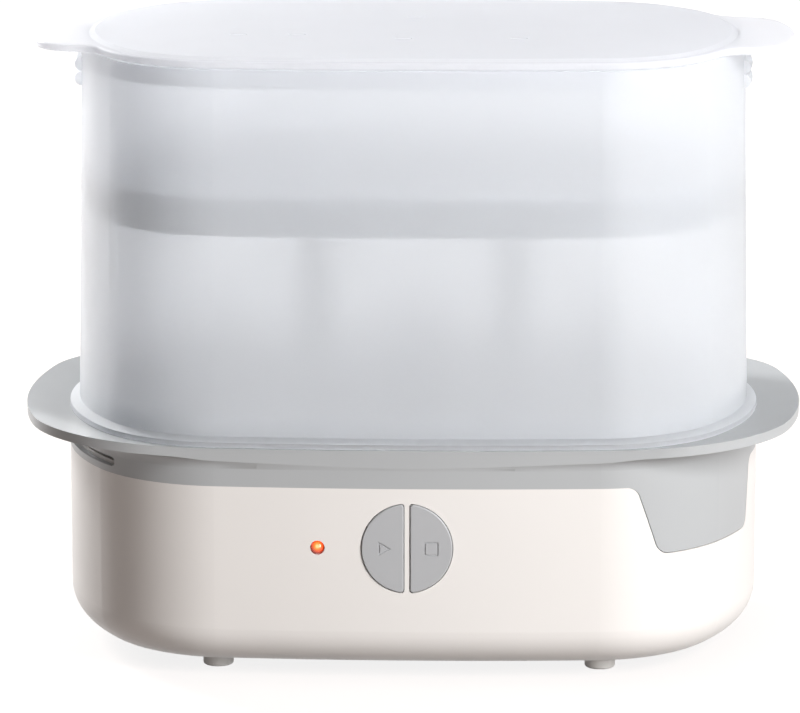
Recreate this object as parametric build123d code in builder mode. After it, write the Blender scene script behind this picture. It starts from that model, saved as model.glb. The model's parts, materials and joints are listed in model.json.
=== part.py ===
from build123d import *
import os
from math import atan2, cos, degrees, hypot, radians, sin, sqrt

# Electric steam sterilizer for baby bottles, in millimetres.
# The front faces -Y, +X is to the right as seen from the front, and it stands on z = 0.
# The origin is on the table, under the middle of the base.

# Outline of the base and of the tub's foot: end, corner and front arcs that run on smoothly
body_length = 275.0
body_depth = 180.0
end_radius = 114.0
corner_radius = 59.0
front_radius = 1050.0

# Heights of the stacked mouldings
foot_height = 6.0
pan_height = 22.0
shell_height = 50.0
collar_height = 15.0
tub_height = 146.0
lid_rim = 3.0
panel_rise = 1.0

# Walls and clearances
case_wall = 2.5
tub_wall = 2.0
rest_gap = 0.3
joint_gap = 0.3
running_gap = 0.1
tongue_wall = 1.5
tongue_height = 4.0
tongue_root = 4.0
pan_edge_radius = 15.0

# Brim of the collar, with its two lifting ears
ear_reach = 16.8
brim_front_reach = 0.1
brim_end_radius = 180.0
brim_corner_radius = 55.0
brim_front_radius = 1800.0
brim_slope = 0.16
brim_thickness = 3.7
brim_cove = 5.0

# Seat and basin inside the collar
seat_width = 11.0
basin_depth = 32.5
basin_corner = 6.0

# Slot in the collar's left end
slot_height = 3.8
slot_above_seam = 2.7
slot_half_depth = 67.7

# Name tab on the collar's front right corner, seen square on from 45 degrees, left bare
tab_angle = -45.0
tab_top_left = 2.7
tab_foot_left = 11.8
tab_foot_right = 69.0
tab_top_right = 73.2
tab_drop = 27.2
tab_foot_round = 6.0
tab_right_round = 4.0
tab_seam_round = 5.0
tab_backing_margin = 4.0

# Tub: foot lip, draft, rack ledge and grip beads
lip_inset = 0.2
lip_edge = 2.0
lip_height = 3.6
lip_width = 3.8
tub_draft = 2.4
ledge_thickness = 2.0
ledge_width = 8.0
bead_height = 5.5
bead_reach = 2.7
bead_half_width = 17.0
bead_below_rim = 5.4
bead_pitch = 5.8

# Lid: ears, raised panel, plug skirt and steam vents
lid_ear_half_length = 150.5
lid_ear_half_depth = 45.2
lid_ear_end_radius = 92.0
lid_ear_corner_radius = 17.7
lid_ear_front_radius = 2000.0
lid_ear_blend = 14.0
lid_edge_round = 0.9
panel_inset = 3.0
panel_bevel = 2.5
panel_hollow = 1.6
skirt_depth = 7.5
skirt_wall = 1.6
skirt_gap = 0.5
vent_length = 7.0
vent_width = 1.8
vent_places = ((-68.0, -20.0), (-45.0, -19.0), (0.0, 29.0), (-3.0, -28.0), (42.0, -27.0))

# Bottle rack, with a prong for each bottle and two columns for the upper basket
lift_gap = 0.8
rack_floor = 2.2
rack_rim_height = 6.0
rack_wall = 1.8
bottle_pitch_x = 78.0
bottle_pitch_y = 76.0
bottle_columns = 3
bottle_rows = 2
prong_width = 20.0
prong_tip = 9.0
prong_height = 32.0
prong_rib = 2.0
column_radius = 6.0
column_peg_radius = 3.0
column_peg_height = 7.0
drain_slot_length = 20.0
drain_slot_width = 4.0
drain_pitch_x = 26.0
drain_pitch_y = 12.5
drain_margin = 6.0
drain_clearance = 1.0

# Upper basket
basket_height = 16.3
basket_band = 6.4
basket_step = 1.0
basket_wall = 1.8
basket_floor = 2.0
basket_lift = 76.5
boss_radius = 7.0
boss_height = 8.0
peg_gap = 0.4

# Heating dish, its seal, clamp and controls
dish_radius = 48.4
dish_wall = 1.2
dish_drop = 6.2
dish_flange = 7.6
seal_thickness = 1.5
seal_skirt = 1.2
seal_gap = 0.2
element_ring_radius = 34.0
element_width = 8.0
element_height = 7.0
element_gap_angle = 60.0
pin_radius = 1.5
pin_length = 8.8
stud_radius = 3.0
stud_length = 17.0
strap_drop = 8.0
strap_thickness = 2.0
strap_width = 14.0
strap_boss_reach = 60.0
strap_boss_radius = 5.0
nut_width = 10.0
nut_height = 5.0
thermostat_radius = 7.0
thermostat_height = 8.0
thermostat_place = 18.0
thermostat_flange = (24.0, 9.0, 1.4)
blade_size = (1.0, 3.5, 4.4)
fuse_radius = 2.5
fuse_length = 15.0
fuse_place = -19.0
clip_width = 6.0
clip_wall = 0.8
clip_tab = 5.0

# Two half-round buttons and the lamp on the front
button_radius = 17.6
button_bar = 1.9
button_centre_z = 54.4
button_gap = 0.3
button_proud = 0.6
button_flange = 1.4
button_flange_thickness = 1.2
button_flange_gap = 0.5
button_travel = 1.2
button_edge = 0.5
button_corner = 1.2
symbol_offset = 9.4
symbol_size = 5.6
symbol_line = 0.7
symbol_depth = 0.4
stem_radius = 2.5
stem_offset = 8.0
stem_drop = 4.0
lamp_x = -34.6
lamp_radius = 2.6
lamp_gap = 0.2
lamp_proud = 1.1
lamp_body = 6.4
lamp_flange = 0.5
lamp_flange_thickness = 1.0
lead_size = 0.5
lead_pitch = 2.54
spacer_wall = 1.0

# Control board, its bracket and what stands on it
board_width = 96.0
board_height = 23.0
board_thickness = 1.6
board_setback = 16.0
board_edge_inset = 4.0
board_clearance = 1.0
switch_size = 6.4
switch_depth = 4.0
plunger_radius = 1.6
plunger_proud = 1.6
plunger_engaged = 2.0
relay_size = (15.0, 10.0, 13.0)
relay_x = 32.0
capacitor_size = (17.0, 8.0, 11.0)
capacitor_x = -30.0
bracket_thickness = 2.0
bracket_foot = 14.0
standoff_radius = 3.0
screw_radius = 1.5
screw_head_radius = 2.7
screw_head_height = 2.0
bracket_screw_reach = 30.0
bracket_boss_height = 6.0
bracket_boss_radius = 3.5
block_inset = 1.0

# Case screws, feet, terminal block and cord gland
case_screw_x = 96.0
case_screw_y = 44.0
case_screw_radius = 2.0
case_screw_head_radius = 3.6
case_screw_head_height = 2.6
case_screw_bite = 7.0
case_post_radius = 5.8
case_boss_drop = 8.0
case_post_floor = 6.0
foot_x = 75.0
foot_y = 61.0
foot_radius = 6.0
foot_peg_radius = 3.0
foot_barb_radius = 4.2
foot_barb_height = 1.6
foot_edge = 1.0
terminal_size = (26.0, 16.0, 14.0)
terminal_setback = 34.0
terminal_bore = 1.6
terminal_pitch = 8.0
gland_z = 46.0
gland_bore = 3.5
gland_neck = 5.8
gland_flange = 8.8
gland_flange_thickness = 1.5
gland_inner_flange = 7.8
gland_recess = 1.8
gland_web = 4.2
gland_pad_radius = 12.0
vent_slot_length = 22.0
vent_slot_width = 3.0
vent_slot_count = 5
vent_slot_pitch = 9.0

# Levels worked out from the heights
pan_z = foot_height
shell_z = pan_z + pan_height
collar_z = shell_z + shell_height
seat_z = collar_z + collar_height
tub_z = seat_z + rest_gap
tub_top = tub_z + tub_height
lid_z = tub_top + rest_gap
pan_floor_z = pan_z + case_wall
basin_floor_top = seat_z - basin_depth
basin_floor_z = basin_floor_top - case_wall
rack_z = tub_z + ledge_thickness + rest_gap
rack_floor_top = rack_z + rack_floor
basket_z = rack_floor_top + basket_lift
shoulder_z = basket_z - rest_gap

# Outlines that lie inside the body's outline, as distances outward from it
tongue_outer = -case_wall - joint_gap
tongue_inner = tongue_outer - tongue_wall
tub_foot_grow = -lip_inset - lip_width
tub_rim_grow = tub_foot_grow - tub_draft
rack_grow = tub_rim_grow - tub_wall - lift_gap
basin_wall_back = -seat_width + case_wall


class Oval:
    """Outline of end, corner and front arcs; parallel outlines share its centres."""

    def __init__(self, half_length, half_depth, end_r, corner_r, front_r):
        self.half_length = half_length
        self.half_depth = half_depth
        self.radii = (end_r, corner_r, front_r)
        end_centre = Vector(half_length - end_r, 0)
        front_centre = Vector(0, half_depth - front_r)
        line = front_centre - end_centre
        span = line.length
        end_reach = end_r - corner_r
        front_reach = front_r - corner_r
        along = (end_reach**2 - front_reach**2 + span**2) / (2 * span)
        aside = sqrt(end_reach**2 - along**2)
        unit = line / span
        corner_centre = end_centre + unit * along + Vector(-unit.Y, unit.X) * aside
        self.centres = (end_centre, corner_centre, front_centre)
        from_end = corner_centre - end_centre
        from_front = corner_centre - front_centre
        self.end_angle = atan2(from_end.Y, from_end.X)
        self.front_angle = atan2(from_front.Y, from_front.X)

    def joints(self, grow=0.0):
        """End-to-corner joint, corner middle and corner-to-front joint of the first quarter."""
        corner_centre = self.centres[1]
        middle = (self.end_angle + self.front_angle) / 2
        reach = self.radii[1] + grow
        angles = (self.end_angle, middle, self.front_angle)
        return [corner_centre + Vector(cos(a), sin(a)) * reach for a in angles]

    def lines(self, grow=0.0):
        """Add the eight arcs to the line that is being built."""
        side, middle, top = self.joints(grow)
        for sx in (1, -1):
            apex = (sx * (self.half_length + grow), 0)
            ThreePointArc((sx * side.X, -side.Y), apex, (sx * side.X, side.Y))
        for sy in (1, -1):
            crown = (0, sy * (self.half_depth + grow))
            ThreePointArc((-top.X, sy * top.Y), crown, (top.X, sy * top.Y))
        for sx in (1, -1):
            for sy in (1, -1):
                ThreePointArc(
                    (sx * side.X, sy * side.Y),
                    (sx * middle.X, sy * middle.Y),
                    (sx * top.X, sy * top.Y),
                )

    def draw(self, grow=0.0, mode=Mode.ADD):
        """Add the filled outline to the sketch that is being built."""
        with BuildLine() as outline:
            self.lines(grow)
        make_face(outline.edges(), mode=mode)

    def depth_at(self, x, grow=0.0):
        """Half-depth of the outline at a distance x from the middle."""
        side, _, top = self.joints(grow)
        across = abs(x)
        if across <= top.X:
            arc = 2
        elif across <= side.X:
            arc = 1
        else:
            arc = 0
        centre = self.centres[arc]
        reach = self.radii[arc] + grow
        return centre.Y + sqrt(max(reach**2 - (across - centre.X) ** 2, 0.0))


body = Oval(body_length / 2, body_depth / 2, end_radius, corner_radius, front_radius)
brim = Oval(
    body_length / 2 + ear_reach,
    body_depth / 2 + brim_front_reach,
    brim_end_radius,
    brim_corner_radius,
    brim_front_radius,
)
lid_ears = Oval(
    lid_ear_half_length,
    lid_ear_half_depth,
    lid_ear_end_radius,
    lid_ear_corner_radius,
    lid_ear_front_radius,
)


def ring(outer, inner, low, high, mode=Mode.ADD):
    """Wall between two parallel outlines of the body, from one level to another."""
    with BuildSketch(Plane.XY.offset(low)) as wall:
        body.draw(outer)
        body.draw(inner, mode=Mode.SUBTRACT)
    extrude(wall.sketch, amount=high - low, mode=mode)


def block(outline, grow, low, high, mode=Mode.ADD):
    """Prism of an oval outline, from one level to another."""
    with BuildSketch(Plane.XY.offset(low)) as base:
        outline.draw(grow)
    extrude(base.sketch, amount=high - low, mode=mode)


def drafted(low_grow, low, high_grow, high, mode=Mode.ADD):
    """Straight-sided body between two parallel outlines at two levels."""
    with BuildSketch(Plane.XY.offset(low)) as foot:
        body.draw(low_grow)
    with BuildSketch(Plane.XY.offset(high)) as head:
        body.draw(high_grow)
    loft([foot.sketch, head.sketch], ruled=True, mode=mode)


def post(x, y, radius, low, high, mode=Mode.ADD):
    """Upright cylinder from one level to another."""
    with BuildSketch(Plane.XY.offset(low)) as base:
        with Locations((x, y)):
            Circle(radius)
    extrude(base.sketch, amount=high - low, mode=mode)


def box(x, y, low, size, mode=Mode.ADD):
    """Upright block with its foot centred on x, y."""
    with BuildSketch(Plane.XY.offset(low)) as base:
        with Locations((x, y)):
            Rectangle(size[0], size[1])
    extrude(base.sketch, amount=size[2], mode=mode)


def front_plane(y):
    """Upright plane facing the front; its own axes are X and Z."""
    return Plane(origin=(0, y, 0), x_dir=(1, 0, 0), z_dir=(0, -1, 0))


def save(part, name):
    """Label a finished piece and write it under its own name."""
    part.label = name
    export_step(part, "parts/" + name + ".step")


def tub_grow(z):
    """How far the tub's outer wall lies outside the body's outline at a level."""
    share = (z - tub_z - lip_height) / (tub_height - lip_height)
    return tub_foot_grow - tub_draft * share


def four(x, y):
    """The four places that mirror one another about both middle planes."""
    return [(sx * x, sy * y) for sx in (-1, 1) for sy in (-1, 1)]


os.makedirs("parts", exist_ok=True)

# Collar: outer wall, brim, tub seat and water basin in one moulding
rise_at_limit = 25.0
slope_angle = atan2(brim_slope, 1)
cove_turn = radians(90) - slope_angle
cove_end_x = brim_cove * (1 - cos(cove_turn))
underside_z = seat_z - brim_thickness
cove_end_z = underside_z + brim_slope * cove_end_x
cove_z = cove_end_z - brim_cove * sin(cove_turn)
cove_mid = cove_turn / 2


def tab_face(grow, low, high):
    """Outline of the name tab on its own viewing plane, made larger all round by grow."""
    left_top = tab_top_left - grow
    left_foot = tab_foot_left - grow
    right_foot = tab_foot_right + grow
    right_top = tab_top_right + grow
    foot = collar_z - tab_drop - grow
    far = body_depth
    with BuildLine() as outline:
        FilletPolyline(
            (-far, high),
            (-far, low),
            (left_top, low),
            (left_foot, foot),
            (right_foot, foot),
            (right_top, low),
            (far, low),
            (far, high),
            radius=(
                0,
                tab_seam_round - grow,
                tab_foot_round + grow,
                tab_right_round + grow,
                tab_seam_round - grow,
                0,
            ),
        )
        Line((far, high), (-far, high))
    make_face(outline.edges())


def tab_prism(grow, low, high):
    """Cutter that follows the name tab's outline outward from the middle of the base."""
    turn = radians(tab_angle)
    plane = Plane(
        origin=(0, 0, 0),
        x_dir=(-sin(turn), cos(turn), 0),
        z_dir=(cos(turn), sin(turn), 0),
    )
    with BuildPart() as cutter:
        with BuildSketch(plane):
            tab_face(grow, low, high)
        extrude(amount=body_length)
    return cutter.part


with BuildPart(mode=Mode.PRIVATE) as name_tab:
    ring(0, -case_wall, collar_z - tab_drop - case_wall, collar_z + case_wall)
    add(tab_prism(0, collar_z, collar_z + 2 * case_wall), mode=Mode.INTERSECT)

with BuildPart(mode=Mode.PRIVATE) as end_slot:
    ring(case_wall, -2 * case_wall, collar_z, seat_z)
    with BuildSketch(Plane(origin=(0, 0, 0), x_dir=(0, -1, 0), z_dir=(-1, 0, 0))):
        with Locations((0, collar_z + slot_above_seam + slot_height / 2)):
            SlotOverall(2 * slot_half_depth, slot_height)
    extrude(amount=body_length, mode=Mode.INTERSECT)

with BuildPart() as basin_collar:
    with BuildLine() as seat_path:
        body.lines()
    start = seat_path.wire() @ 0
    along = seat_path.wire() % 0
    outward = along.cross(Vector(0, 0, 1))
    if outward.dot(start) < 0:
        outward = -outward
    section_plane = Plane(origin=start, x_dir=outward, z_dir=outward.cross(Vector(0, 0, 1)))
    with BuildSketch(section_plane) as collar_section:
        with BuildLine():
            Polyline((0, cove_z), (0, collar_z), (-case_wall, collar_z),
                     (-case_wall, seat_z - case_wall), (basin_wall_back, seat_z - case_wall),
                     (basin_wall_back, basin_floor_z),
                     (-seat_width - basin_corner, basin_floor_z),
                     (-seat_width - basin_corner, basin_floor_top))
            ThreePointArc(
                (-seat_width - basin_corner, basin_floor_top),
                (-seat_width - basin_corner * (1 - sin(radians(45))),
                 basin_floor_top + basin_corner * (1 - cos(radians(45)))),
                (-seat_width, basin_floor_top + basin_corner),
            )
            Polyline((-seat_width, basin_floor_top + basin_corner), (-seat_width, seat_z),
                     (0, seat_z), (rise_at_limit, seat_z + brim_slope * rise_at_limit),
                     (rise_at_limit, underside_z + brim_slope * rise_at_limit),
                     (cove_end_x, cove_end_z))
            ThreePointArc(
                (cove_end_x, cove_end_z),
                (brim_cove * (1 - cos(cove_mid)), cove_z + brim_cove * sin(cove_mid)),
                (0, cove_z),
            )
        make_face()
    sweep(path=seat_path.wire())
    block(brim, 0, basin_floor_z, seat_z + rise_at_limit, mode=Mode.INTERSECT)
    block(body, -seat_width - basin_corner / 2, basin_floor_z, basin_floor_top)
    post(0, 0, dish_radius + seal_gap + seal_skirt + seal_gap, basin_floor_z, basin_floor_top,
         mode=Mode.SUBTRACT)
    add(name_tab.part)
    add(end_slot.part, mode=Mode.SUBTRACT)
    for x, y in four(case_screw_x, case_screw_y):
        post(x, y, case_post_radius, basin_floor_z - case_boss_drop, basin_floor_z)
        post(x, y, case_screw_radius, basin_floor_z - case_boss_drop, basin_floor_z,
             mode=Mode.SUBTRACT)
    for side in (-1, 1):
        post(side * strap_boss_reach, 0, strap_boss_radius,
             basin_floor_top + seal_thickness - dish_drop - strap_drop, basin_floor_z)
save(basin_collar.part, "basin_collar")

# Base shell: side wall between pan and collar, with pockets for the tab, buttons, lamp and gland
gland_wall_y = body_depth / 2
button_y = -body_depth / 2
shell_inner_y = button_y + case_wall
hole_radius = button_radius + button_gap


def half_round(radius, bar, corner, side):
    """Half of a round face, left of the middle bar for side -1 and right of it for side 1."""
    flat = bar / 2
    with BuildSketch(mode=Mode.PRIVATE) as half:
        Circle(radius)
        with Locations((side * (flat + radius), 0)):
            Rectangle(2 * radius, 3 * radius, mode=Mode.INTERSECT)
        across = half.vertices().sort_by(Axis.X)
        fillet(across[:2] if side > 0 else across[-2:], corner)
    return half.sketch


with BuildPart(mode=Mode.PRIVATE) as tab_backing:
    ring(-case_wall, tongue_inner, shell_z + tongue_root, collar_z)
    add(tab_prism(tab_backing_margin, collar_z, collar_z + case_wall), mode=Mode.INTERSECT)

with BuildPart(mode=Mode.PRIVATE) as tab_pocket:
    ring(case_wall, tongue_outer, shell_z + tongue_root, collar_z + case_wall)
    add(tab_prism(joint_gap, collar_z, collar_z + 2 * case_wall), mode=Mode.INTERSECT)

with BuildPart() as base_shell:
    ring(0, -case_wall, shell_z, collar_z)
    ring(-case_wall, tongue_inner, collar_z - tongue_root, collar_z)
    ring(tongue_outer, tongue_inner, collar_z, collar_z + tongue_height)
    add(tab_backing.part)
    add(tab_pocket.part, mode=Mode.SUBTRACT)
    with BuildSketch(front_plane(button_y + seat_width)) as front_holes:
        for side in (-1, 1):
            with Locations((0, button_centre_z)):
                add(half_round(hole_radius, button_bar, button_corner, side))
        with Locations((lamp_x, button_centre_z)):
            Circle(lamp_radius + lamp_gap)
    extrude(amount=2 * seat_width, mode=Mode.SUBTRACT)
    with BuildSketch(Plane(origin=(0, gland_wall_y - gland_recess - gland_web, 0),
                           x_dir=(-1, 0, 0), z_dir=(0, 1, 0))) as gland_pad:
        with Locations((0, gland_z)):
            Circle(gland_pad_radius)
    extrude(amount=gland_recess + gland_web - case_wall / 2)
    with BuildSketch(Plane(origin=(0, gland_wall_y - gland_recess, 0),
                           x_dir=(-1, 0, 0), z_dir=(0, 1, 0))) as gland_recess_face:
        with Locations((0, gland_z)):
            Circle(gland_flange + joint_gap)
    extrude(amount=2 * gland_recess, mode=Mode.SUBTRACT)
    with BuildSketch(Plane(origin=(0, gland_wall_y - 2 * seat_width, 0),
                           x_dir=(-1, 0, 0), z_dir=(0, 1, 0))) as gland_hole:
        with Locations((0, gland_z)):
            Circle(gland_neck)
    extrude(amount=3 * seat_width, mode=Mode.SUBTRACT)
save(base_shell.part, "base_shell")

# Bottom pan: rounded tray that closes the base, with screw posts, bosses and air slots
post_top_z = basin_floor_z - case_boss_drop
screw_seat_z = post_top_z - case_post_floor
bracket_foot_z = pan_floor_z + bracket_boss_height
board_front_y = button_y + board_setback
board_back_y = board_front_y + board_thickness
bracket_front_y = board_back_y + bracket_thickness
bracket_back_y = bracket_front_y + bracket_thickness
bracket_screw_y = bracket_back_y + bracket_foot / 2

with BuildPart(mode=Mode.PRIVATE) as pan_hollow:
    block(body, -case_wall, pan_floor_z, shell_z)
    fillet(pan_hollow.edges().group_by(Axis.Z)[0], pan_edge_radius - case_wall)

with BuildPart() as bottom_pan:
    block(body, 0, pan_z, shell_z)
    fillet(bottom_pan.edges().group_by(Axis.Z)[0], pan_edge_radius)
    add(pan_hollow.part, mode=Mode.SUBTRACT)
    ring(-case_wall, tongue_inner, shell_z - tongue_height, shell_z)
    ring(tongue_outer, tongue_inner, shell_z, shell_z + tongue_height)
    for x, y in four(case_screw_x, case_screw_y):
        post(x, y, case_post_radius, pan_floor_z, post_top_z)
        post(x, y, case_screw_head_radius + joint_gap, pan_z, screw_seat_z, mode=Mode.SUBTRACT)
        post(x, y, case_screw_radius + running_gap, screw_seat_z, post_top_z, mode=Mode.SUBTRACT)
    for x, y in four(foot_x, foot_y):
        post(x, y, foot_peg_radius, pan_z, pan_floor_z, mode=Mode.SUBTRACT)
    for side in (-1, 1):
        place = (side * bracket_screw_reach, bracket_screw_y)
        post(*place, bracket_boss_radius, pan_floor_z, bracket_foot_z)
        post(*place, screw_radius, pan_floor_z, bracket_foot_z, mode=Mode.SUBTRACT)
    with BuildSketch(Plane.XY.offset(pan_z)) as air_slots:
        with GridLocations(3 * vent_slot_length, vent_slot_pitch, 2, vent_slot_count):
            SlotOverall(vent_slot_length, vent_slot_width)
    extrude(amount=case_wall, mode=Mode.SUBTRACT)
save(bottom_pan.part, "bottom_pan")

# Feet: four push-in rubber feet
with BuildPart() as feet:
    for x, y in four(foot_x, foot_y):
        post(x, y, foot_radius, 0, pan_z)
        post(x, y, foot_peg_radius, pan_z, pan_floor_z)
        post(x, y, foot_barb_radius, pan_floor_z, pan_floor_z + foot_barb_height)
    fillet(feet.edges().group_by(Axis.Z)[0], foot_edge)
save(feet.part, "feet")

# Case screws: four screws from below, through the pan's posts into the collar's bosses
with BuildPart() as case_screws:
    for x, y in four(case_screw_x, case_screw_y):
        post(x, y, case_screw_head_radius, screw_seat_z - case_screw_head_height, screw_seat_z)
        post(x, y, case_screw_radius, screw_seat_z, post_top_z + case_screw_bite)
    with BuildSketch(Plane.XY.offset(screw_seat_z - case_screw_head_height)) as cross_slots:
        with Locations(*four(case_screw_x, case_screw_y)):
            Rectangle(case_screw_head_radius, case_screw_radius / 2)
            Rectangle(case_screw_radius / 2, case_screw_head_radius)
    extrude(amount=case_screw_head_height / 2, mode=Mode.SUBTRACT)
save(case_screws.part, "case_screws")

# Tub: frosted wall that narrows upward, with a foot lip, a ledge for the rack and grip beads
with BuildPart() as tub:
    block(body, -lip_inset, tub_z, tub_z + lip_edge)
    drafted(-lip_inset, tub_z + lip_edge, tub_foot_grow, tub_z + lip_height)
    drafted(tub_foot_grow, tub_z + lip_height, tub_rim_grow, tub_top)
    for side in (-1, 1):
        centre_x = side * body.centres[0].X
        turn = atan2(bead_half_width, end_radius)
        start_plane = Plane(
            origin=(centre_x, 0, 0),
            x_dir=(side * cos(turn), -sin(turn), 0),
            z_dir=(-sin(turn), -side * cos(turn), 0),
        )
        with BuildSketch(start_plane) as bead_face:
            for count in range(2):
                level = tub_top - bead_below_rim - bead_height / 2 - count * bead_pitch
                with Locations((end_radius + tub_grow(level), level)):
                    Ellipse(bead_reach, bead_height / 2)
        revolve(axis=Axis((centre_x, 0, 0), (0, 0, side)), revolution_arc=2 * degrees(turn))
    ledge_top = tub_z + ledge_thickness
    drafted(tub_grow(ledge_top) - tub_wall, ledge_top, tub_rim_grow - tub_wall, tub_top,
            mode=Mode.SUBTRACT)
    block(body, tub_foot_grow - tub_wall - ledge_width, tub_z, ledge_top, mode=Mode.SUBTRACT)
save(tub.part, "tub")


def new_corners(edges, outlines):
    """Upright edges of a joined prism that belong to neither of the outlines it was made from."""
    known = []
    for outline, grow in outlines:
        for place in outline.joints(grow):
            known += [(sx * place.X, sy * place.Y) for sx in (-1, 1) for sy in (-1, 1)]
    return [
        e for e in edges.filter_by(Axis.Z)
        if all(hypot(e.center().X - x, e.center().Y - y) > 0.01 for x, y in known)
    ]


# Lid: plate with two lifting ears, a raised panel, a plug skirt below and five steam vents
panel_grow = tub_rim_grow - panel_inset
skirt_grow = tub_rim_grow - tub_wall - skirt_gap
panel_z = lid_z + lid_rim

with BuildPart() as lid:
    with BuildSketch(Plane.XY.offset(lid_z)) as lid_outline:
        body.draw(tub_rim_grow)
        lid_ears.draw()
    extrude(amount=lid_rim)
    fillet(new_corners(lid.edges(), ((body, tub_rim_grow), (lid_ears, 0))), lid_ear_blend)
    fillet(lid.edges().group_by(Axis.Z)[0] + lid.edges().group_by(Axis.Z)[-1], lid_edge_round)
    drafted(panel_grow, panel_z, panel_grow - panel_bevel, panel_z + panel_rise)
    ring(skirt_grow, skirt_grow - skirt_wall, lid_z - skirt_depth, lid_z)
    block(body, skirt_grow - skirt_wall, lid_z, lid_z + panel_hollow, mode=Mode.SUBTRACT)
    with BuildSketch(Plane.XY.offset(lid_z)) as vents:
        with Locations(*vent_places):
            SlotOverall(vent_length, vent_width)
    extrude(amount=lid_rim + panel_rise, mode=Mode.SUBTRACT)
save(lid.part, "lid")


def drain_places(grow, blocked):
    """Places of drain slots that keep clear of an outline's edge and of blocked round areas."""
    reach = drain_slot_length / 2
    edge = drain_slot_width / 2
    columns = 2 * int(body_length / 2 / drain_pitch_x) + 1
    rows = 2 * int(body_depth / 2 / drain_pitch_y) + 1
    kept = []
    for spot in GridLocations(drain_pitch_x, drain_pitch_y, columns, rows).locations:
        x, y = spot.position.X, spot.position.Y
        inside = (abs(x) + reach < body.half_length + grow
                  and abs(y) + edge < body.depth_at(abs(x) + reach, grow))
        clear = all(
            hypot(max(abs(x - bx) - reach, 0), max(abs(y - by) - edge, 0)) > radius
            for bx, by, radius in blocked
        )
        if inside and clear:
            kept.append((x, y))
    return kept


column_places = [(-bottle_pitch_x / 2, 0), (bottle_pitch_x / 2, 0)]
prong_places = [
    (spot.position.X, spot.position.Y)
    for spot in GridLocations(bottle_pitch_x, bottle_pitch_y, bottle_columns, bottle_rows).locations
]

with BuildPart(mode=Mode.PRIVATE) as prong:
    for plane in (Plane.XZ, Plane.YZ):
        with BuildSketch(plane) as rib_face:
            with BuildLine():
                Polyline(
                    (-prong_width / 2, 0),
                    (-prong_tip / 2, prong_height),
                    (prong_tip / 2, prong_height),
                    (prong_width / 2, 0),
                    close=True,
                )
            make_face()
            fillet(rib_face.vertices().group_by(Axis.Y)[-1], prong_rib)
        extrude(amount=prong_rib / 2, both=True)

# Bottle rack: drained floor on the tub's ledge, with prongs for the bottles and two columns
with BuildPart() as bottle_rack:
    with BuildSketch(Plane.XY.offset(rack_z)) as rack_floor_face:
        body.draw(rack_grow)
        blocked = [(x, y, drain_slot_width) for x, y in prong_places]
        blocked += [(x, y, column_radius + drain_clearance) for x, y in column_places]
        with Locations(*drain_places(rack_grow - rack_wall - drain_margin, blocked)):
            SlotOverall(drain_slot_length, drain_slot_width, mode=Mode.SUBTRACT)
    extrude(amount=rack_floor)
    ring(rack_grow, rack_grow - rack_wall, rack_floor_top, rack_floor_top + rack_rim_height)
    with Locations(*[(x, y, rack_floor_top) for x, y in prong_places]):
        add(prong.part)
    for x, y in column_places:
        post(x, y, column_radius, rack_z, shoulder_z)
        post(x, y, column_peg_radius, shoulder_z, shoulder_z + column_peg_height)
save(bottle_rack.part, "bottle_rack")

# Upper basket: shallow tray with a thicker band round its top, seated on the rack's columns
basket_top = basket_z + basket_height
step_z = basket_top - basket_band
basket_body_grow = rack_grow - basket_step
basket_floor_top = basket_z + basket_floor

with BuildPart() as upper_basket:
    with BuildSketch(Plane.XY.offset(basket_z)) as basket_floor_face:
        body.draw(basket_body_grow)
        blocked = [(x, y, boss_radius + drain_clearance) for x, y in column_places]
        with Locations(*drain_places(basket_body_grow - basket_wall - drain_margin, blocked)):
            SlotOverall(drain_slot_length, drain_slot_width, mode=Mode.SUBTRACT)
    extrude(amount=basket_floor)
    ring(basket_body_grow, basket_body_grow - basket_wall, basket_floor_top, step_z)
    ring(rack_grow, basket_body_grow - basket_wall, step_z, basket_top)
    for x, y in column_places:
        post(x, y, boss_radius, basket_floor_top, basket_floor_top + boss_height)
        post(x, y, column_peg_radius + peg_gap, basket_z, basket_z + column_peg_height + peg_gap,
             mode=Mode.SUBTRACT)
save(upper_basket.part, "upper_basket")

# Heating dish: pressed dish whose flange lies on the seal, with a welded stud below its middle
dish_seat_z = basin_floor_top + seal_thickness
dish_bottom_z = dish_seat_z - dish_drop
seal_inner = dish_radius + seal_gap
seal_outer = seal_inner + seal_skirt
flange_radius = dish_radius + dish_flange

with BuildPart() as heating_dish:
    post(0, 0, flange_radius, dish_seat_z, dish_seat_z + dish_wall)
    post(0, 0, dish_radius, dish_bottom_z, dish_seat_z)
    post(0, 0, dish_radius - dish_wall, dish_bottom_z + dish_wall, dish_seat_z + dish_wall,
         mode=Mode.SUBTRACT)
    fillet(heating_dish.edges().filter_by(GeomType.CIRCLE).filter_by(
        lambda e: abs(e.radius - dish_radius + dish_wall) < 0.01
        and e.center().Z > dish_seat_z), dish_wall / 2)
    post(0, 0, stud_radius, dish_bottom_z - stud_length, dish_bottom_z)
save(heating_dish.part, "heating_dish")

# Dish seal: silicone ring with a skirt that lines the opening of the basin
with BuildPart() as dish_seal:
    post(0, 0, flange_radius, basin_floor_top, dish_seat_z)
    post(0, 0, seal_outer, basin_floor_z, basin_floor_top)
    post(0, 0, seal_inner, basin_floor_z, dish_seat_z, mode=Mode.SUBTRACT)
save(dish_seal.part, "dish_seal")

# Heating element: open ring with a flat top brazed to the dish, and a cold pin at each end
element_turn = radians(element_gap_angle / 2)
element_ends = [
    (side * element_ring_radius * sin(element_turn), element_ring_radius * cos(element_turn))
    for side in (-1, 1)
]
element_low_z = dish_bottom_z - element_height
element_start = Plane(
    origin=(0, 0, 0),
    x_dir=(-sin(element_turn), cos(element_turn), 0),
    z_dir=(cos(element_turn), sin(element_turn), 0),
)

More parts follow.
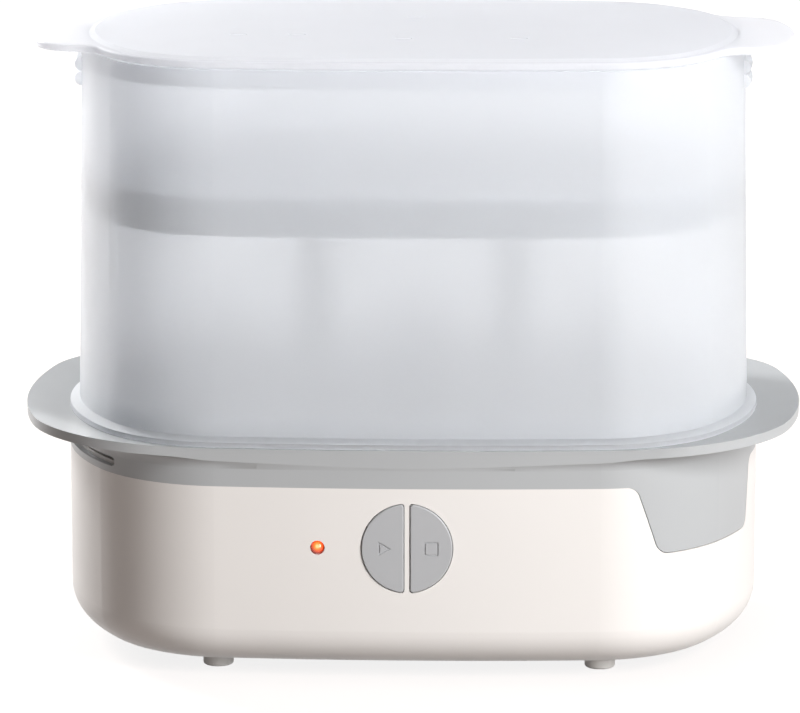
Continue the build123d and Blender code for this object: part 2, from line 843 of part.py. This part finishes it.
with BuildPart() as heating_element:
    with BuildSketch(element_start) as element_section:
        with Locations((element_ring_radius, dish_bottom_z - element_height / 2)):
            Rectangle(element_width, element_height)
        fillet(element_section.vertices().group_by(Axis.Z)[0], element_width / 3)
    revolve(axis=Axis.Z, revolution_arc=360 - element_gap_angle)
    for x, y in element_ends:
        post(x, y, element_width / 2, element_low_z, dish_bottom_z)
        post(x, y, pin_radius, element_low_z - pin_length, element_low_z)
save(heating_element.part, "heating_element")

# Dish clamp: steel strap under the basin's two bosses, pulled up by the nut on the dish's stud
strap_top_z = dish_bottom_z - strap_drop
strap_low_z = strap_top_z - strap_thickness

with BuildPart() as dish_clamp:
    with BuildSketch(Plane.XY.offset(strap_low_z)) as strap_face:
        SlotOverall(2 * (strap_boss_reach + strap_width / 2), strap_width)
        Circle(stud_radius + joint_gap, mode=Mode.SUBTRACT)
    extrude(amount=strap_thickness)
save(dish_clamp.part, "dish_clamp")

# Clamp nut: hexagon nut on the stud
with BuildPart() as clamp_nut:
    with BuildSketch(Plane.XY.offset(strap_low_z - nut_height)) as nut_face:
        RegularPolygon(nut_width / 2, 6, major_radius=False)
        Circle(stud_radius + running_gap / 2, mode=Mode.SUBTRACT)
    extrude(amount=nut_height)
save(clamp_nut.part, "clamp_nut")

# Thermostat: snap disc that lies against the dish, with a flange and two blade terminals
with BuildPart() as thermostat:
    box(0, thermostat_place, dish_bottom_z - thermostat_flange[2], thermostat_flange)
    post(0, thermostat_place, thermostat_radius, dish_bottom_z - thermostat_height, dish_bottom_z)
    for side in (-1, 1):
        blade_x = side * thermostat_radius / 2
        box(blade_x, thermostat_place, dish_bottom_z - thermostat_height - blade_size[2],
            blade_size)
save(thermostat.part, "thermostat")

# Thermal fuse: small sleeve held against the dish by a clip
fuse_axis_z = dish_bottom_z - fuse_radius - joint_gap / 2
with BuildPart() as thermal_fuse:
    with BuildSketch(Plane(origin=(-fuse_length / 2, 0, 0), x_dir=(0, 1, 0), z_dir=(1, 0, 0))):
        with Locations((fuse_place, fuse_axis_z)):
            Circle(fuse_radius)
    extrude(amount=fuse_length)
    with BuildSketch(Plane(origin=(-fuse_length, 0, 0), x_dir=(0, 1, 0), z_dir=(1, 0, 0))):
        with Locations((fuse_place, fuse_axis_z)):
            Circle(lead_size)
    extrude(amount=2 * fuse_length)
save(thermal_fuse.part, "thermal_fuse")

# Fuse clip: bent strip round the fuse, with two tabs welded to the dish
with BuildPart() as fuse_clip:
    clip_inner = fuse_radius + running_gap
    with BuildSketch(Plane(origin=(-clip_width / 2, 0, 0), x_dir=(0, 1, 0), z_dir=(1, 0, 0))):
        with Locations((fuse_place, fuse_axis_z)):
            Circle(clip_inner + clip_wall)
            Circle(clip_inner, mode=Mode.SUBTRACT)
            with Locations((0, clip_inner)):
                Rectangle(2 * clip_inner, 2 * clip_inner, mode=Mode.SUBTRACT)
        for side in (-1, 1):
            with Locations((fuse_place + side * (clip_inner + clip_wall / 2),
                            (fuse_axis_z + dish_bottom_z) / 2)):
                Rectangle(clip_wall, dish_bottom_z - fuse_axis_z)
            with Locations((fuse_place + side * (clip_inner + clip_tab / 2),
                            dish_bottom_z - clip_wall / 2)):
                Rectangle(clip_tab, clip_wall)
    extrude(amount=clip_width)
save(fuse_clip.part, "fuse_clip")

# Start and stop buttons: half-round faces with a flange behind the wall and a stem to the switch
button_face_y = button_y - button_proud
flange_front_y = shell_inner_y + button_flange_gap
flange_back_y = flange_front_y + button_flange_thickness
switch_front_y = board_front_y - switch_depth
plunger_tip_y = switch_front_y - plunger_proud


def button(side, symbol):
    """One half-round button; side -1 is the left one."""
    with BuildPart() as piece:
        with BuildSketch(front_plane(flange_front_y)) as face:
            with Locations((0, button_centre_z)):
                add(half_round(button_radius, button_bar + 2 * button_gap, button_corner, side))
        extrude(amount=flange_front_y - button_face_y)
        fillet(piece.edges().group_by(Axis.Y)[0], button_edge)
        with BuildSketch(front_plane(flange_back_y)) as flange:
            with Locations((0, button_centre_z)):
                add(half_round(button_radius + button_flange, button_gap * 2, button_corner, side))
        extrude(amount=button_flange_thickness)
        with BuildSketch(front_plane(plunger_tip_y)) as stem:
            with Locations((side * stem_offset, button_centre_z - stem_drop)):
                Circle(stem_radius)
        extrude(amount=plunger_tip_y - flange_back_y)
        with BuildSketch(front_plane(button_face_y + symbol_depth)) as mark:
            with Locations((side * symbol_offset, button_centre_z)):
                add(symbol)
        extrude(amount=symbol_depth, mode=Mode.SUBTRACT)
    return piece.part


with BuildSketch(mode=Mode.PRIVATE) as start_symbol:
    Triangle(a=symbol_size, b=symbol_size, c=symbol_size, rotation=-90)
    offset(amount=-symbol_line, mode=Mode.SUBTRACT)

with BuildSketch(mode=Mode.PRIVATE) as stop_symbol:
    RectangleRounded(symbol_size, symbol_size, symbol_line)
    offset(amount=-symbol_line, mode=Mode.SUBTRACT)

start_button = button(-1, start_symbol.sketch)
save(start_button, "start_button")
stop_button = button(1, stop_symbol.sketch)
save(stop_button, "stop_button")


def plunger(side):
    """Switch plunger that travels with its button."""
    with BuildPart() as piece:
        with BuildSketch(front_plane(switch_front_y + plunger_engaged)):
            with Locations((side * stem_offset, button_centre_z - stem_drop)):
                Circle(plunger_radius)
        extrude(amount=plunger_engaged + plunger_proud)
    return piece.part


def switch(side):
    """Switch body on the board, with a bore for its plunger."""
    with BuildPart() as piece:
        with BuildSketch(front_plane(board_front_y)):
            with Locations((side * stem_offset, button_centre_z - stem_drop)):
                RectangleRounded(switch_size, switch_size, stem_radius / 4)
        extrude(amount=switch_depth)
        with BuildSketch(front_plane(switch_front_y + plunger_engaged + button_travel + joint_gap)):
            with Locations((side * stem_offset, button_centre_z - stem_drop)):
                Circle(plunger_radius + running_gap / 2)
        extrude(amount=plunger_engaged + button_travel + joint_gap, mode=Mode.SUBTRACT)
    return piece.part


for side, name in ((-1, "start"), (1, "stop")):
    save(plunger(side), name + "_plunger")
    save(switch(side), name + "_switch")

# Lamp: round lens with a flange behind the wall and two leads to the board, on a spacer
lamp_wall_y = -body.depth_at(lamp_x)
lamp_tip_y = lamp_wall_y - lamp_proud
lamp_flange_y = lamp_tip_y + lamp_radius + lamp_body

with BuildPart() as indicator_lamp:
    with BuildSketch(front_plane(lamp_flange_y)) as lamp_face:
        with Locations((lamp_x, button_centre_z)):
            Circle(lamp_radius)
    extrude(amount=lamp_body)
    with Locations((lamp_x, lamp_tip_y + lamp_radius, button_centre_z)):
        Sphere(lamp_radius)
    with BuildSketch(front_plane(lamp_flange_y + lamp_flange_thickness)) as lamp_foot:
        with Locations((lamp_x, button_centre_z)):
            Circle(lamp_radius + lamp_flange)
    extrude(amount=lamp_flange_thickness)
    with BuildSketch(front_plane(board_back_y)) as lamp_leads:
        with Locations((lamp_x - lead_pitch / 2, button_centre_z),
                       (lamp_x + lead_pitch / 2, button_centre_z)):
            Rectangle(lead_size, lead_size)
    extrude(amount=board_back_y - lamp_flange_y - lamp_flange_thickness)
save(indicator_lamp.part, "indicator_lamp")

# Lamp spacer: tube that holds the lamp at its height over the board
spacer_length = board_front_y - lamp_flange_y - lamp_flange_thickness
with BuildPart() as lamp_spacer:
    with BuildSketch(front_plane(board_front_y)) as spacer_face:
        with Locations((lamp_x, button_centre_z)):
            Circle(lamp_radius + lamp_flange)
            Circle(lamp_radius + lamp_flange - spacer_wall, mode=Mode.SUBTRACT)
    extrude(amount=spacer_length)
save(lamp_spacer.part, "lamp_spacer")

# Control board with holes for its screws and the lamp's leads
board_top_z = basin_floor_z - board_clearance
board_low_z = board_top_z - board_height
screw_places = [
    (side * (board_width / 2 - board_edge_inset), level)
    for side in (-1, 1)
    for level in (board_low_z + board_edge_inset, board_low_z + board_height - board_edge_inset)
]

with BuildPart() as control_board:
    with BuildSketch(front_plane(board_back_y)) as board_face:
        with Locations((0, board_low_z + board_height / 2)):
            RectangleRounded(board_width, board_height, board_edge_inset / 2)
        with Locations(*screw_places):
            Circle(screw_radius + running_gap, mode=Mode.SUBTRACT)
        with Locations((lamp_x - lead_pitch / 2, button_centre_z),
                       (lamp_x + lead_pitch / 2, button_centre_z)):
            Circle(lead_size, mode=Mode.SUBTRACT)
    extrude(amount=board_thickness)
save(control_board.part, "control_board")


def board_block(x, size, corner):
    """Component that stands on the lower part of the board, facing the front."""
    with BuildPart() as piece:
        with BuildSketch(front_plane(board_front_y)):
            with Locations((x, board_low_z + block_inset + size[2] / 2)):
                RectangleRounded(size[0], size[2], corner)
        extrude(amount=size[1])
        fillet(piece.edges().group_by(Axis.Y)[0], corner / 2)
    return piece.part


save(board_block(relay_x, relay_size, 1.0), "relay")
save(board_block(capacitor_x, capacitor_size, 2.0), "capacitor")

# Board bracket: upright plate with standoffs and a foot on the pan's two bosses
with BuildPart() as board_bracket:
    with BuildSketch(front_plane(bracket_back_y)) as bracket_face:
        with Locations((0, (bracket_foot_z + board_top_z) / 2)):
            Rectangle(board_width, board_top_z - bracket_foot_z)
    extrude(amount=bracket_thickness)
    with BuildSketch(front_plane(bracket_front_y)) as standoffs:
        with Locations(*screw_places):
            Circle(standoff_radius)
    extrude(amount=bracket_thickness)
    with BuildSketch(front_plane(bracket_back_y)) as bracket_holes:
        with Locations(*screw_places):
            Circle(screw_radius)
    extrude(amount=2 * bracket_thickness, mode=Mode.SUBTRACT)
    with BuildSketch(Plane.XY.offset(bracket_foot_z)) as bracket_foot_face:
        with Locations((0, bracket_screw_y)):
            Rectangle(board_width, bracket_foot)
        with Locations((-bracket_screw_reach, bracket_screw_y),
                       (bracket_screw_reach, bracket_screw_y)):
            Circle(screw_radius + running_gap, mode=Mode.SUBTRACT)
    extrude(amount=bracket_thickness)
save(board_bracket.part, "board_bracket")

# Board screws: four into the bracket's standoffs
with BuildPart() as board_screws:
    with BuildSketch(front_plane(board_front_y)) as board_screw_heads:
        with Locations(*screw_places):
            Circle(screw_head_radius)
    extrude(amount=screw_head_height)
    with BuildSketch(front_plane(bracket_back_y)) as board_screw_shanks:
        with Locations(*screw_places):
            Circle(screw_radius)
    extrude(amount=bracket_back_y - board_front_y)
save(board_screws.part, "board_screws")

# Foot screws: two from above, through the bracket's foot into the pan's bosses
foot_top_z = bracket_foot_z + bracket_thickness
with BuildPart() as bracket_screws:
    for side in (-1, 1):
        place = (side * bracket_screw_reach, bracket_screw_y)
        post(*place, screw_head_radius, foot_top_z, foot_top_z + screw_head_height)
        post(*place, screw_radius, pan_floor_z, foot_top_z)
save(bracket_screws.part, "bracket_screws")

# Terminal block for the mains leads, on the pan's floor inside the rear wall
terminal_y = body_depth / 2 - terminal_setback
with BuildPart() as terminal_block:
    box(0, terminal_y, pan_floor_z, terminal_size)
    terminal_top_z = pan_floor_z + terminal_size[2]
    with BuildSketch(Plane.XY.offset(terminal_top_z - terminal_size[2] / 2)) as wire_bores:
        with GridLocations(terminal_pitch, terminal_size[1] / 2, 3, 2):
            with Locations((0, terminal_y)):
                Circle(terminal_bore)
    extrude(amount=terminal_size[2] / 2, mode=Mode.SUBTRACT)
save(terminal_block.part, "terminal_block")

# Cord gland: rubber grommet in the rear wall, with an open bore
gland_front_y = gland_wall_y - gland_recess
gland_rear_y = gland_front_y - gland_web
with BuildPart() as cord_gland:
    for y, radius, length in (
        (gland_front_y, gland_flange, gland_flange_thickness),
        (gland_rear_y, gland_neck, gland_web),
        (gland_rear_y - gland_flange_thickness, gland_inner_flange, gland_flange_thickness),
    ):
        with BuildSketch(Plane(origin=(0, y, 0), x_dir=(-1, 0, 0), z_dir=(0, 1, 0))) as step:
            with Locations((0, gland_z)):
                Circle(radius)
        extrude(amount=length)
    gland_end_y = gland_rear_y - gland_flange_thickness
    with BuildSketch(Plane(origin=(0, gland_end_y, 0), x_dir=(-1, 0, 0), z_dir=(0, 1, 0))) as bore:
        with Locations((0, gland_z)):
            Circle(gland_bore)
    extrude(amount=gland_front_y + gland_flange_thickness - gland_end_y, mode=Mode.SUBTRACT)
save(cord_gland.part, "cord_gland")
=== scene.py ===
import json
from math import asin, atan2, cos, pi, radians, sin, sqrt

import bmesh
import bpy
from mathutils import Matrix, Vector


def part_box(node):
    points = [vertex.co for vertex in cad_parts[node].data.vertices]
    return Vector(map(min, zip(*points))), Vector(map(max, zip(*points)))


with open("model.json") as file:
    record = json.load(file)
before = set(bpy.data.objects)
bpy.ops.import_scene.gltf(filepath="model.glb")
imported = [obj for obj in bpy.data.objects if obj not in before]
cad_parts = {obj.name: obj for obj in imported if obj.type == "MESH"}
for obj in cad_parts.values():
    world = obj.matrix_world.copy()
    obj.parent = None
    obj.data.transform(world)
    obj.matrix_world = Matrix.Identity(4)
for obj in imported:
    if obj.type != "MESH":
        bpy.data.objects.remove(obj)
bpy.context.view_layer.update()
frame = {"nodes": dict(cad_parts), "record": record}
nodes = frame["nodes"]

MM = 0.001

# Camera, fitted to the outlines in the photograph
CAMERA_PLACE = (0.05367, -2.02277, 0.55115)
CAMERA_DOWN = 12.28
CAMERA_YAW = 1.67
SENSOR_WIDTH = 36.0
FOCAL_PIXELS = 5170.81
FRAME_WIDTH = 800


def make_camera():
    """Camera at the photograph's place, with no shift."""
    data = bpy.data.cameras.new("camera")
    data.sensor_fit = "HORIZONTAL"
    data.sensor_width = SENSOR_WIDTH
    data.lens = SENSOR_WIDTH * FOCAL_PIXELS / FRAME_WIDTH
    data.clip_start = 0.05
    data.clip_end = 50.0
    camera = bpy.data.objects.new("camera", data)
    camera.location = CAMERA_PLACE
    camera.rotation_euler = (radians(90 - CAMERA_DOWN), 0, radians(CAMERA_YAW))
    bpy.context.scene.collection.objects.link(camera)
    bpy.context.scene.camera = camera


# Studio: ambient light, softboxes and a pale floor
AMBIENT = (0.11, 0.092, 0.083)
REFLECTED = (0.50, 0.51, 0.53)
WHITE = (1.0, 1.0, 1.0)
FLOOR_COLOUR = (0.20, 0.17, 0.155)
FLOOR_SEEN = 0.84
KEY_ANGLE = 47.0
FILL_ANGLE = 28.0
RIM_ANGLE = -136.0
BACK_ANGLE = -163.0


def around(angle, reach, height):
    """Place at an angle from the front, to the right if positive, at a distance and a height."""
    return (reach * sin(radians(angle)), -reach * cos(radians(angle)), height)


def aim(place, target):
    """Rotation that turns a lamp's -Z from its place towards a target."""
    return (Vector(target) - Vector(place)).to_track_quat("-Z", "Y").to_euler()


def softbox(name, place, target, width, height, watts, colour=WHITE):
    """Rectangular area lamp."""
    data = bpy.data.lights.new(name, "AREA")
    data.shape = "RECTANGLE"
    data.size = width
    data.size_y = height
    data.energy = watts
    data.color = colour
    lamp = bpy.data.objects.new(name, data)
    lamp.location = place
    lamp.rotation_euler = aim(place, target)
    bpy.context.scene.collection.objects.link(lamp)
    return lamp


def make_world():
    """Dim light for the surfaces, grey in their gloss, and white where the background is seen."""
    world = bpy.data.worlds.new("studio")
    world.use_nodes = True
    bpy.context.scene.world = world
    tree = world.node_tree
    tree.nodes.clear()
    rays = tree.nodes.new("ShaderNodeLightPath")
    colour = None
    for kind, seen in (("", AMBIENT), ("Is Glossy Ray", REFLECTED), ("Is Transmission Ray", WHITE),
                       ("Is Camera Ray", WHITE)):
        light = tree.nodes.new("ShaderNodeBackground")
        light.inputs["Color"].default_value = (*seen, 1)
        if colour is None:
            colour = light.outputs[0]
        else:
            mix = tree.nodes.new("ShaderNodeMixShader")
            tree.links.new(rays.outputs[kind], mix.inputs[0])
            tree.links.new(colour, mix.inputs[1])
            tree.links.new(light.outputs[0], mix.inputs[2])
            colour = mix.outputs[0]
    out = tree.nodes.new("ShaderNodeOutputWorld")
    tree.links.new(colour, out.inputs["Surface"])


def make_floor():
    """Plain floor, raised to white where it is seen, that keeps the object's shadow."""
    bpy.ops.mesh.primitive_plane_add(size=8.0, location=(0, 0, 0))
    floor = bpy.context.object
    floor.name = "floor"
    mat = bpy.data.materials.new("floor")
    mat.use_nodes = True
    tree = mat.node_tree
    shader = tree.nodes["Principled BSDF"]
    shader.inputs["Base Color"].default_value = (*FLOOR_COLOUR, 1)
    shader.inputs["Roughness"].default_value = 0.9
    shader.inputs["Specular IOR Level"].default_value = 0.2
    rays = tree.nodes.new("ShaderNodeLightPath")
    seen = rays.outputs["Is Camera Ray"]
    for kind in ("Is Glossy Ray", "Is Transmission Ray"):
        either = tree.nodes.new("ShaderNodeMath")
        either.operation = "MAXIMUM"
        tree.links.new(seen, either.inputs[0])
        tree.links.new(rays.outputs[kind], either.inputs[1])
        seen = either.outputs[0]
    place = tree.nodes.new("ShaderNodeTexCoord").outputs["Object"]
    away = tree.nodes.new("ShaderNodeVectorMath")
    away.operation = "LENGTH"
    tree.links.new(place, away.inputs[0])
    fade = tree.nodes.new("ShaderNodeMapRange")
    fade.interpolation_type = "SMOOTHSTEP"
    fade.inputs["From Min"].default_value = 0.25
    fade.inputs["From Max"].default_value = 0.9
    fade.inputs["To Min"].default_value = FLOOR_SEEN
    fade.inputs["To Max"].default_value = 1.0
    tree.links.new(away.outputs["Value"], fade.inputs["Value"])
    strength = tree.nodes.new("ShaderNodeMath")
    strength.operation = "MULTIPLY"
    tree.links.new(seen, strength.inputs[0])
    tree.links.new(fade.outputs["Result"], strength.inputs[1])
    shader.inputs["Emission Color"].default_value = (1, 1, 1, 1)
    tree.links.new(strength.outputs[0], shader.inputs["Emission Strength"])
    floor.data.materials.append(mat)


def make_studio():
    make_world()
    middle = (0, 0, 0.12)
    softbox("key", around(KEY_ANGLE, 1.45, 0.75), middle, 0.35, 0.9, 27)
    softbox("fill", around(FILL_ANGLE, 1.5, 0.1), middle, 0.5, 0.5, 5)
    softbox("rim", around(RIM_ANGLE, 1.3, 0.6), middle, 0.3, 0.8, 25)
    softbox("back", around(BACK_ANGLE, 1.3, 0.42), middle, 0.4, 0.5, 1.2)
    softbox("top", (0.25, 0.25, 1.6), (0, 0, 0.2), 1.0, 0.8, 8)
    make_floor()


# Materials
LAMP_RADIUS = 0.0024
# Rise of the lamp's bright spot above its centre; the spot is partly glow and partly a painted
# highlight
LAMP_GLOW_HIGHLIGHT_RISE = 0.0008


class Shader:
    """A material with one Principled shader and short ways to drive its sockets."""

    def __init__(self, name, colour, roughness):
        self.mat = bpy.data.materials.new(name)
        self.mat.use_nodes = True
        self.tree = self.mat.node_tree
        self.main = self.tree.nodes["Principled BSDF"]
        self.main.inputs["Base Color"].default_value = (*colour, 1)
        self.main.inputs["Roughness"].default_value = roughness
        self.place = self.add("ShaderNodeTexCoord").outputs["Object"]

    def add(self, kind, **settings):
        node = self.tree.nodes.new(kind)
        for key, value in settings.items():
            setattr(node, key, value)
        return node

    def link(self, start, end):
        self.tree.links.new(start, end)

    def set(self, **values):
        """Set sockets by name, with spaces written as underscores."""
        for key, value in values.items():
            self.main.inputs[key.replace("_", " ")].default_value = value
        return self

    def noise(self, size, detail=3.0, stretch=(1, 1, 1)):
        """Noise between 0 and 1, with features of a size in metres."""
        scaled = self.add("ShaderNodeVectorMath", operation="MULTIPLY")
        scaled.inputs[1].default_value = [s / size for s in stretch]
        self.link(self.place, scaled.inputs[0])
        noise = self.add("ShaderNodeTexNoise")
        noise.inputs["Scale"].default_value = 1.0
        noise.inputs["Detail"].default_value = detail
        self.link(scaled.outputs[0], noise.inputs["Vector"])
        return noise.outputs["Fac"]

    def span(self, value, low, high):
        """Map 0..1 to low..high."""
        node = self.add("ShaderNodeMapRange")
        node.inputs["To Min"].default_value = low
        node.inputs["To Max"].default_value = high
        self.link(value, node.inputs["Value"])
        return node.outputs["Result"]

    def vary_roughness(self, size, low, high):
        self.link(self.span(self.noise(size), low, high), self.main.inputs["Roughness"])
        return self

    def vary_colour(self, size, low, high, stretch=(1, 1, 1)):
        """Base colour that drifts between two near colours."""
        mix = self.add("ShaderNodeMix", data_type="RGBA")
        mix.inputs["A"].default_value = (*low, 1)
        mix.inputs["B"].default_value = (*high, 1)
        self.link(self.noise(size, 2.0, stretch), mix.inputs["Factor"])
        self.link(mix.outputs["Result"], self.main.inputs["Base Color"])
        return self

    def bump(self, size, height, detail=2.0, stretch=(1, 1, 1)):
        """Fine relief with features of a size and a height in metres."""
        node = self.add("ShaderNodeBump")
        node.inputs["Strength"].default_value = 1.0
        node.inputs["Distance"].default_value = height
        self.link(self.noise(size, detail, stretch), node.inputs["Height"])
        if self.main.inputs["Normal"].is_linked:
            before = self.main.inputs["Normal"].links[0].from_socket
            self.link(before, node.inputs["Normal"])
        self.link(node.outputs[0], self.main.inputs["Normal"])
        return self


def frosted(name, low, high, seen_through, roughness, milky):
    """Milky polypropylene: part of the light is scattered and part passes through blurred."""
    s = Shader(name, low, roughness)
    s.vary_colour(0.05, low, high).vary_roughness(0.02, roughness - 0.04, roughness + 0.04)
    s.bump(0.0007, 0.000012)
    s.set(IOR=1.45, Transmission_Weight=seen_through)
    glow = s.add("ShaderNodeBsdfTranslucent")
    glow.inputs["Color"].default_value = (*high, 1)
    mix = s.add("ShaderNodeMixShader")
    mix.inputs[0].default_value = milky
    s.link(s.main.outputs[0], mix.inputs[1])
    s.link(glow.outputs[0], mix.inputs[2])
    s.link(mix.outputs[0], s.tree.nodes["Material Output"].inputs["Surface"])
    return s.mat


def moulded(name, low, high, roughness, grain=0.0009, relief=0.000008):
    """Moulded plastic with a fine even grain."""
    s = Shader(name, low, roughness)
    s.vary_colour(0.04, low, high).vary_roughness(0.015, roughness - 0.04, roughness + 0.04)
    s.bump(grain, relief)
    return s.mat


def metal(name, colour, roughness, stretch):
    """Brushed or cast metal; the stretch draws the grain out."""
    s = Shader(name, colour, roughness)
    s.set(Metallic=1.0)
    s.vary_roughness(0.004, roughness - 0.06, roughness + 0.08)
    s.bump(0.0006, 0.00001, 3.0, stretch)
    return s.mat


def glowing_lens():
    """Amber lamp: dark red rim, orange body and a bright yellow spot raised towards the top, which
    is partly the chip's glow and partly a painted highlight.
    """
    s = Shader("amber", (0.55, 0.05, 0.01), 0.12)
    s.vary_colour(0.002, (0.50, 0.04, 0.01), (0.60, 0.07, 0.01))
    s.set(Coat_Weight=0.6, Coat_Roughness=0.05, IOR=1.5)
    low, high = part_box("indicator_lamp")
    centre = [(a + b) / 2 for a, b in zip(low, high)]
    # Centre of the emitted spot, raised towards the top: partly the chip's glow, partly a painted
    # highlight
    glow_and_highlight_spot = (centre[0], centre[1], centre[2] + LAMP_GLOW_HIGHLIGHT_RISE)
    across = s.add("ShaderNodeVectorMath", operation="SUBTRACT")
    across.inputs[1].default_value = glow_and_highlight_spot
    s.link(s.place, across.inputs[0])
    flat = s.add("ShaderNodeVectorMath", operation="MULTIPLY")
    flat.inputs[1].default_value = (1, 0, 1)
    s.link(across.outputs[0], flat.inputs[0])
    reach = s.add("ShaderNodeVectorMath", operation="LENGTH")
    s.link(flat.outputs[0], reach.inputs[0])
    part = s.add("ShaderNodeMath", operation="DIVIDE")
    part.inputs[1].default_value = LAMP_RADIUS + LAMP_GLOW_HIGHLIGHT_RISE
    s.link(reach.outputs["Value"], part.inputs[0])
    # Emission colour: yellow centre (glow with a painted highlight), orange, then falling to dark
    # red at the rim
    ramp = s.add("ShaderNodeValToRGB")
    ramp.color_ramp.elements[0].color = (1.0, 0.85, 0.35, 1)
    ramp.color_ramp.elements[0].position = 0.12
    ramp.color_ramp.elements[1].color = (0.16, 0.008, 0.0, 1)
    ramp.color_ramp.elements[1].position = 0.85
    for place, colour in ((0.30, (1.0, 0.36, 0.04)), (0.58, (0.70, 0.07, 0.005))):
        stop = ramp.color_ramp.elements.new(place)
        stop.color = (*colour, 1)
    s.link(part.outputs[0], ramp.inputs[0])
    s.link(ramp.outputs[0], s.main.inputs["Emission Color"])
    s.set(Emission_Strength=0.9)
    return s.mat


def make_materials():
    white = moulded("warm_white", (0.86, 0.835, 0.81), (0.88, 0.855, 0.83), 0.32)
    grey = moulded("satin_grey", (0.44, 0.455, 0.465), (0.47, 0.485, 0.495), 0.36)
    inserts = moulded("grey_inserts", (0.22, 0.245, 0.275), (0.25, 0.275, 0.305), 0.45)
    button = moulded("button_grey", (0.45, 0.46, 0.475), (0.49, 0.50, 0.515), 0.34)
    dark = moulded("dark_plastic", (0.02, 0.02, 0.022), (0.03, 0.03, 0.032), 0.4)
    natural = moulded("natural_nylon", (0.70, 0.68, 0.60), (0.74, 0.72, 0.64), 0.5)
    rubber = moulded("rubber", (0.10, 0.10, 0.105), (0.13, 0.13, 0.135), 0.75)
    feet = moulded("pale_feet", (0.86, 0.845, 0.82), (0.88, 0.865, 0.84), 0.5)
    silicone = moulded("silicone", (0.40, 0.40, 0.39), (0.44, 0.44, 0.43), 0.6)
    board = moulded("board_green", (0.02, 0.13, 0.06), (0.03, 0.16, 0.08), 0.35)
    steel = metal("brushed_steel", (0.62, 0.61, 0.58), 0.3, (1, 30, 1))
    cast = metal("cast_aluminium", (0.6, 0.6, 0.6), 0.45, (1, 1, 1))
    nickel = metal("nickel", (0.66, 0.63, 0.57), 0.22, (1, 1, 1))
    tub = frosted("frosted_tub", (0.945, 0.96, 0.985), (0.96, 0.975, 0.995), 0.66, 0.36, 0.22)
    lid = frosted("frosted_lid", (0.87, 0.88, 0.90), (0.90, 0.905, 0.93), 0.45, 0.5, 0.3)
    return {
        "tub": tub, "lid": lid, "inserts": inserts, "collar": grey, "base": white,
        "button": button, "lamp": glowing_lens(), "steel": steel, "element": cast,
        "nickel": nickel, "rubber": rubber, "silicone": silicone, "board": board, "feet": feet,
        "dark": dark, "natural": natural,
    }


def dress_nodes(materials):
    """Give every node the material of its slot."""
    for row in frame["record"]["subparts"]:
        piece = nodes[row["node"]]
        piece.data.materials.clear()
        slot = "feet" if row["node"] == "feet" else row["material_slot"]
        piece.data.materials.append(materials[slot])


make_camera()
make_studio()
dress_nodes(make_materials())

bpy.context.scene.view_settings.view_transform = "Standard"
